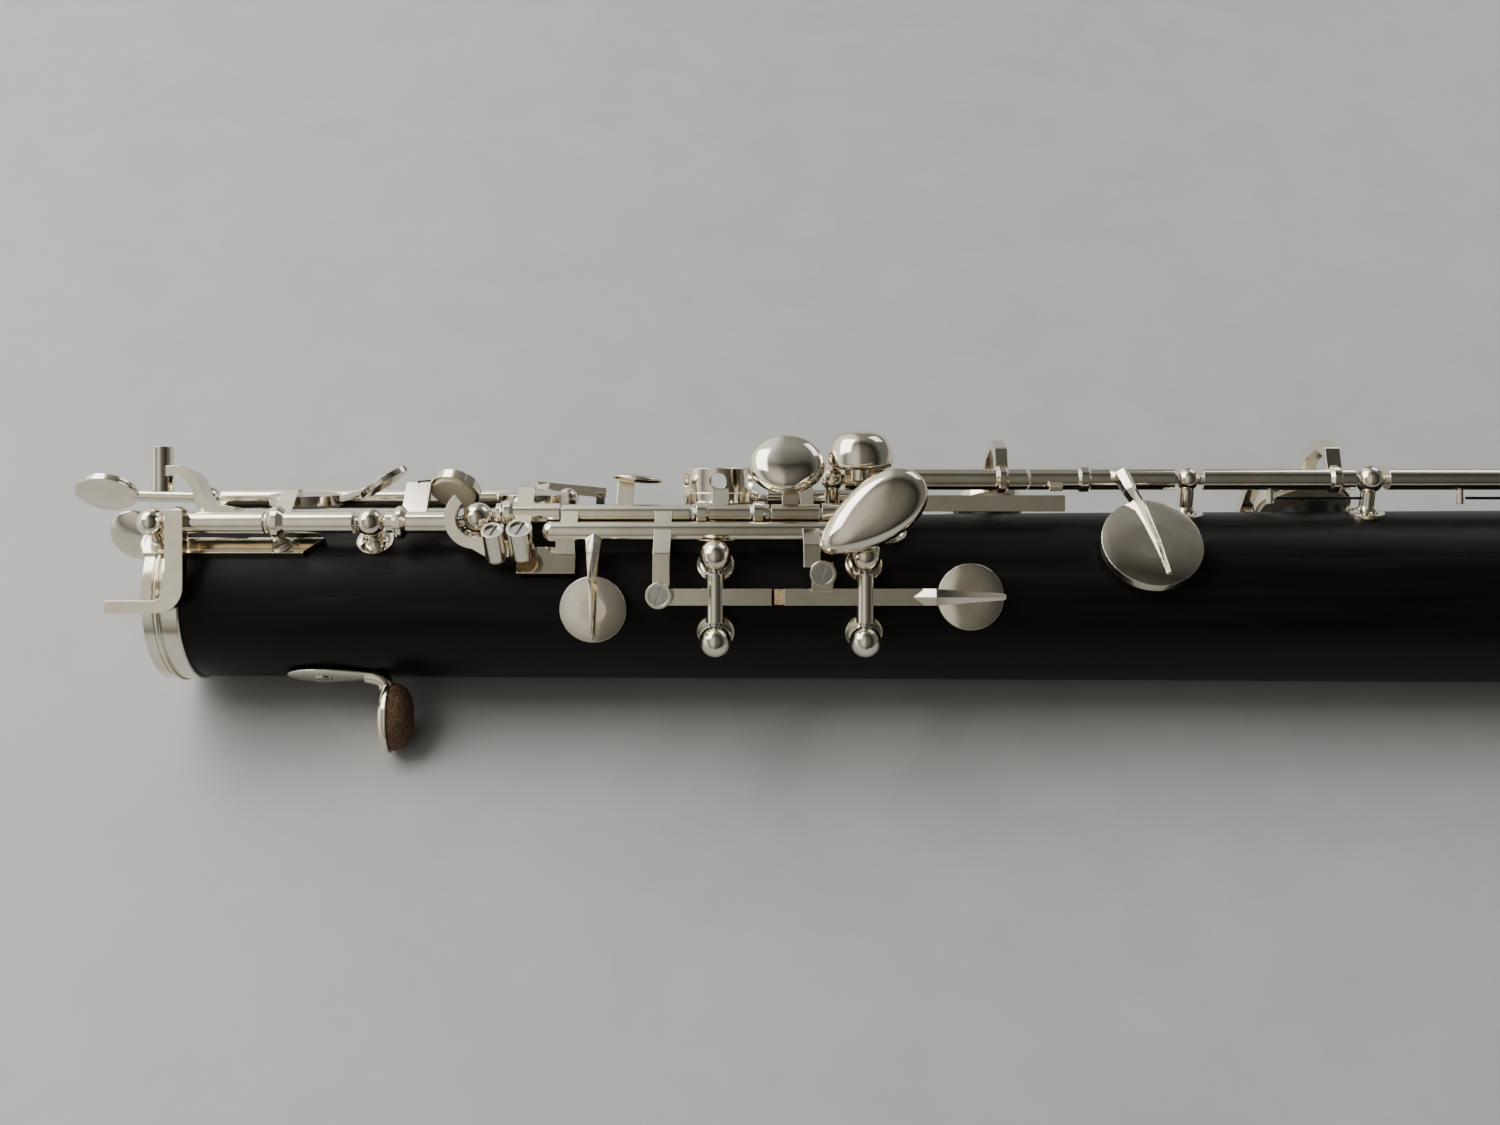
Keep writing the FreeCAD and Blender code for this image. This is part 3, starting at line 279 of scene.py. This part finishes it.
def paint_slots():
    """Makes one procedural material for each slot."""
    painted = {}
    for slot, (finish, details) in FINISHES.items():
        painted[slot] = bpy.data.materials.new(f"{slot}_finish")
        finish(painted[slot], **details)
    return painted


MATERIALS = paint_slots()
for part in frame["record"]["subparts"]:
    shown = frame["nodes"][part["node"]]
    shown.data.materials.clear()
    shown.data.materials.append(MATERIALS[part["material_slot"]])


# ---------------------------------------------------------------- shaped pieces

# Sizes and places in this section are in millimetres, and place() turns them into metres.

PILLOW_RINGS = 14
PILLOW_SEGMENTS = 28
FULLNESS = 0.6  # below 1, a pillow is fuller at its edge than an ellipsoid
TOUCH_SLOT = "silver_plate"

THUMB_BACK = 159  # degrees from the joint's front, round its right side, to the thumb rest
THUMB_RADIUS = 12.65  # from the bore's axis to the middle of the rest's leaf, on the wood
HOOK_FRONT = -18.1  # the hook's middle, behind the bore's axis
HOOK_SIDE = 4.0  # and to the axis's right


def turned(*turns):
    """The joint's own axes, turned by (degrees, axis) pairs; Z ends as the piece's outward side."""
    axes = Matrix((X, -SIDE, FRONT)).transposed()
    for degrees, axis in turns:
        axes = axes @ Matrix.Rotation(math.radians(degrees), 3, axis)
    return axes


def pillow(name, body, centre, axes, half, rise, under, taper=0.0, slot=TOUCH_SLOT, stands_for=()):
    """A smooth cushion-shaped piece: half sizes along its two axes, rise above and depth below."""
    made = bmesh.new()
    rings = []
    for ring in range(1, PILLOW_RINGS):
        tilt = math.pi * (0.5 - ring / PILLOW_RINGS)
        reach = math.cos(tilt) ** FULLNESS
        height = math.sin(tilt) * (rise if tilt > 0 else under)
        points = []
        for step in range(PILLOW_SEGMENTS):
            turn = 2 * math.pi * step / PILLOW_SEGMENTS
            along = half[0] * reach * math.cos(turn)
            across = half[1] * reach * math.sin(turn) * (1 + taper * math.cos(turn))
            points.append(made.verts.new(Vector((along, across, height)) * MM))
        rings.append(points)
    for upper, lower in zip(rings, rings[1:]):
        for step in range(PILLOW_SEGMENTS):
            after = (step + 1) % PILLOW_SEGMENTS
            made.faces.new((upper[step], lower[step], lower[after], upper[after]))
    for height, points in ((rise, rings[0]), (-under, rings[-1])):
        pole = made.verts.new(Vector((0, 0, height)) * MM)
        for step in range(PILLOW_SEGMENTS):
            made.faces.new((pole, points[step], points[(step + 1) % PILLOW_SEGMENTS]))
    bmesh.ops.recalc_face_normals(made, faces=made.faces)
    for face in made.faces:
        face.smooth = True
    mesh = bpy.data.meshes.new(name)
    made.to_mesh(mesh)
    made.free()
    mesh.transform(Matrix.Translation(place(*centre)) @ axes.to_4x4())
    return finished(bpy.data.objects.new(name, mesh), body, slot, stands_for)


def finished(piece, body, slot, stands_for):
    """Puts a piece on its body, in its slot's finish, and in place of the CAD nodes it stands for."""
    bpy.context.scene.collection.objects.link(piece)
    piece.data.materials.append(MATERIALS[slot])
    if piece.type == "MESH":
        piece.modifiers.new("smooth", "SUBSURF").levels = 1
    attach(piece, body)
    if stands_for:
        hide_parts(*stands_for)
    return piece


def drawn_wire(name, body, points, radius, slot=TOUCH_SLOT):
    """A round neck drawn past the points, which place() takes."""
    curve = bpy.data.curves.new(name, "CURVE")
    curve.dimensions = "3D"
    curve.bevel_depth = radius * MM
    curve.bevel_resolution = 6
    curve.use_fill_caps = True
    spline = curve.splines.new("NURBS")
    spline.points.add(len(points) - 1)
    for control, point in zip(spline.points, points):
        control.co = (*place(*point), 1)
    spline.use_endpoint_u = True
    spline.order_u = 3
    return finished(bpy.data.objects.new(name, curve), body, slot, ())


def add_touches():
    """Polished finger touches, rounder than the solids that they cover."""
    pillow(
        "c_sharp_touch", "c_sharp_key", (94.2, 19.6, 8.5), turned((60, "X")),
        half=(5.8, 5.0), rise=2.85, under=1.0,
    )
    pillow(
        "c_touch", "c_key", (105.2, 20.1, 6.8), turned((8, "X")),
        half=(5.2, 4.7), rise=4.75, under=1.1,
    )
    pillow(
        "e_flat_touch", "d_sharp_key", (106.2, 12.0, 17.6), turned((-35, "Y"), (82, "X")),
        half=(8.9, 4.5), rise=2.75, under=1.0, taper=0.28,
    )
    pillow(
        "left_leaf", "left_upper_lever", (-13.6, 16.4, -8.2), turned((-38, "X")),
        half=(5.0, 3.95), rise=0.65, under=0.65,
    )


def add_thumb_rest():
    """The thumb rest's leaf, neck and cupped hook, and the cork that lines the hook."""
    front = THUMB_RADIUS * math.cos(math.radians(THUMB_BACK))
    side = THUMB_RADIUS * math.sin(math.radians(THUMB_BACK))
    hook_axes = Matrix((-FRONT, SIDE, X)).transposed()
    pillow(
        "thumb_leaf", "joint", (26.2, front, side), turned((THUMB_BACK, "X")),
        half=(7.2, 2.9), rise=0.55, under=0.5, taper=-0.3, stands_for=("thumb_rest",),
    )
    neck = [
        (31.0, front, side),
        (33.6, front - 0.3, side),
        (34.0, front - 2.0, side - 0.2),
        (34.2, front - 4.0, HOOK_SIDE + 0.1),
    ]
    drawn_wire("thumb_neck", "joint", neck, radius=1.15)
    pillow(
        "thumb_hook", "joint", (34.5, HOOK_FRONT, HOOK_SIDE), hook_axes,
        half=(5.6, 3.9), rise=0.3, under=1.9, taper=0.1,
    )
    pillow(
        "thumb_cork", "joint", (34.7, HOOK_FRONT, HOOK_SIDE), hook_axes,
        half=(5.2, 3.6), rise=3.2, under=0.3, taper=0.1,
        slot="dark_cork", stands_for=("thumb_rest_cork",),
    )


add_touches()
add_thumb_rest()


# ---------------------------------------------------------------- stage

FLOOR_REACH = 1.5  # half the floor's width

# the room's light by how far a direction turns towards the viewer, 0 to 1
WALL = (0.86, 0.86, 0.83)
DARK_BAND = (0.13, 0.13, 0.12)
CEILING = (0.40, 0.39, 0.36)
NEAR_CEILING = (0.56, 0.54, 0.49)
TOWARDS_VIEWER = [(0.3, WALL), (0.62, DARK_BAND), (0.82, CEILING), (0.97, NEAR_CEILING)]
# and its share from the left of the room, 0, to the right, 1
LEFT_TO_RIGHT = [
    (0.3, (1, 1, 1)),
    (0.43, (0.8, 0.8, 0.79)),
    (0.5, (0.24, 0.24, 0.23)),
    (0.75, (0.12, 0.12, 0.12)),
]
ROOM_STRENGTH = 1.45


def add_floor():
    mesh = bpy.data.meshes.new("table")
    corners = [
        (x * FLOOR_REACH, y * FLOOR_REACH, FLOOR_Z) for x, y in ((-1, -1), (1, -1), (1, 1), (-1, 1))
    ]
    mesh.from_pydata(corners, [], [(0, 1, 2, 3)])
    floor = bpy.data.objects.new("table", mesh)
    bpy.context.scene.collection.objects.link(floor)
    material = bpy.data.materials.new("table_top")
    table_top(material)
    mesh.materials.append(material)


def add_light(name, position, size, power, colour):
    """A soft rectangular light, in metres and watts, that faces the middle of the view."""
    data = bpy.data.lights.new(name, "AREA")
    data.shape = "RECTANGLE"
    data.size, data.size_y = size
    data.energy = power
    data.color = colour
    light = bpy.data.objects.new(name, data)
    light.location = position
    towards = X * TARGET_X - Vector(position)
    light.rotation_euler = towards.to_track_quat("-Z", "Y").to_euler()
    bpy.context.scene.collection.objects.link(light)


def add_world():
    """A plain studio room, bright at the left: the two ramps above, multiplied."""
    world = bpy.data.worlds.new("room")
    bpy.context.scene.world = world
    world.use_nodes = True
    nodes, links = world.node_tree.nodes, world.node_tree.links
    background = nodes["Background"]
    background.inputs["Strength"].default_value = ROOM_STRENGTH
    direction = nodes.new("ShaderNodeTexCoord")
    product = nodes.new("ShaderNodeVectorMath")
    product.operation = "MULTIPLY"
    ramps = [(SIDE, 0, TOWARDS_VIEWER), (X, -1, LEFT_TO_RIGHT)]
    for socket, (axis, lowest, stops) in enumerate(ramps):
        towards = nodes.new("ShaderNodeVectorMath")
        towards.operation = "DOT_PRODUCT"
        towards.inputs[1].default_value = axis
        links.new(direction.outputs["Generated"], towards.inputs[0])
        share = nodes.new("ShaderNodeMapRange")
        share.inputs["From Min"].default_value = lowest
        links.new(towards.outputs["Value"], share.inputs["Value"])
        ramp = nodes.new("ShaderNodeValToRGB")
        links.new(share.outputs["Result"], ramp.inputs["Fac"])
        set_stops(ramp, stops)
        links.new(ramp.outputs["Color"], product.inputs[socket])
    links.new(product.outputs["Vector"], background.inputs["Color"])


def add_camera():
    """Looks square onto the joint's right side, its front towards the top of the picture."""
    data = bpy.data.cameras.new("camera")
    data.lens = LENS_MM
    data.sensor_width = SENSOR_MM
    data.clip_start = CLIP_START
    camera = bpy.data.objects.new("camera", data)
    target = X * TARGET_X + FRONT * TARGET_FRONT
    camera.location = target + SIDE * CAMERA_DISTANCE
    camera.rotation_euler = (math.pi / 2 - ROLL, 0, 0)
    bpy.context.scene.collection.objects.link(camera)
    bpy.context.scene.camera = camera


add_floor()
add_light("window", (-0.42, 0.22, 0.62), size=(0.8, 0.55), power=7, colour=(1.0, 0.99, 0.97))
add_light("far_window", (0.7, 0.8, 0.5), size=(0.5, 0.5), power=1.6, colour=(0.96, 0.98, 1.0))
add_world()
add_camera()
